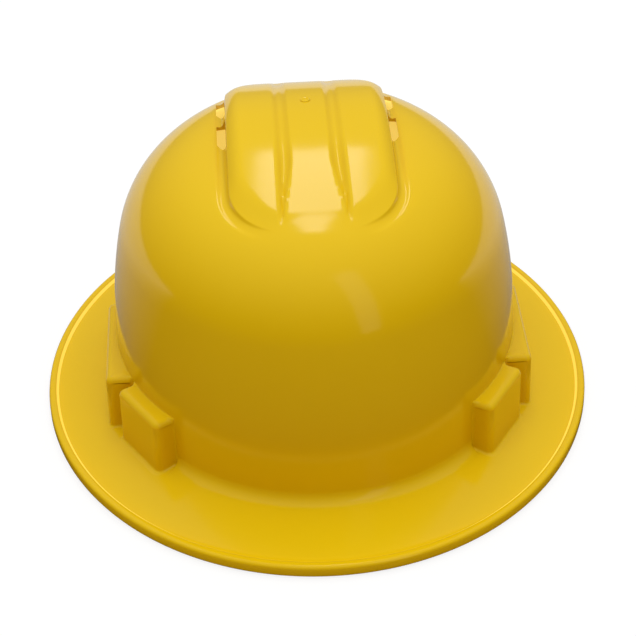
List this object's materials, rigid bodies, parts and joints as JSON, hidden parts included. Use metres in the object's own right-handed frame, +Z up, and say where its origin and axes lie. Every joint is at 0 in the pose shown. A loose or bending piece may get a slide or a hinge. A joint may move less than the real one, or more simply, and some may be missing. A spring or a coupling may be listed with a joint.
{
  "type": "full brim hard hat",
  "caption": "Hard hat with a full brim, a ribbed vented crown, key and accessory bosses, and a webbing suspension with a ratchet knob.",
  "frame": {"origin": "centre of the hat's plan, on the surface that its brim's rim rests on", "axes": "+Z up out of the crown, front of the hat towards -Y, wearer's right hand towards -X"},
  "size_m": [0.28, 0.3164, 0.1504],
  "materials": {
    "shell_plastic": "glossy moulded polyethylene",
    "black_plastic": "fine moulded grain",
    "grey_plastic": "satin moulded",
    "band_plastic": "satin moulded, flexible",
    "webbing": "woven polyester",
    "pad_fabric": "knitted terry over foam",
    "screw_steel": "zinc plated"
  },
  "bodies": {
    "root": {"shell": "shell_plastic", "key_front_left": "grey_plastic", "key_front_right": "grey_plastic", "key_rear_left": "grey_plastic", "key_rear_right": "grey_plastic", "hanger_front_left": "band_plastic", "hanger_front_right": "band_plastic", "hanger_rear_left": "band_plastic", "hanger_rear_right": "band_plastic", "crown_strap_lower": "webbing", "crown_strap_upper": "webbing", "brow_pad": "pad_fabric", "nape_pad": "pad_fabric", "ratchet_base": "black_plastic", "ratchet_cover": "black_plastic", "housing_screws": "screw_steel"},
    "knob": {"knob": "black_plastic", "pinion": "grey_plastic", "pawl_ring": "grey_plastic", "knob_screw": "screw_steel"},
    "headband_left": {"headband_left": "band_plastic", "hanger_studs_left": "grey_plastic"},
    "headband_right": {"headband_right": "band_plastic", "hanger_studs_right": "grey_plastic"}
  },
  "joints": [
    {"name": "knob_turn", "type": "hinge", "parent": "root", "child": "knob", "pos_m": [0, 0.095, 0.026], "axis": [0, 1, 0], "range_deg": [-210, 95]},
    {"name": "headband_left_swing", "type": "hinge", "parent": "root", "child": "headband_left", "pos_m": [0, -0.109, 0.026], "axis": [0, 0, 1], "range_deg": [-6.35, 2.9], "deforming": ["hanger_front_left", "hanger_rear_left", "brow_pad"]},
    {"name": "headband_right_swing", "type": "hinge", "parent": "root", "child": "headband_right", "pos_m": [0, -0.109, 0.026], "axis": [0, 0, 1], "range_deg": [-2.9, 6.35], "deforming": ["hanger_front_right", "hanger_rear_right", "brow_pad"]}
  ],
  "couplings": [
    {"joint": "headband_left_swing", "follows": "knob_turn", "ratio": 0.03},
    {"joint": "headband_right_swing", "follows": "knob_turn", "ratio": -0.03}
  ]
}
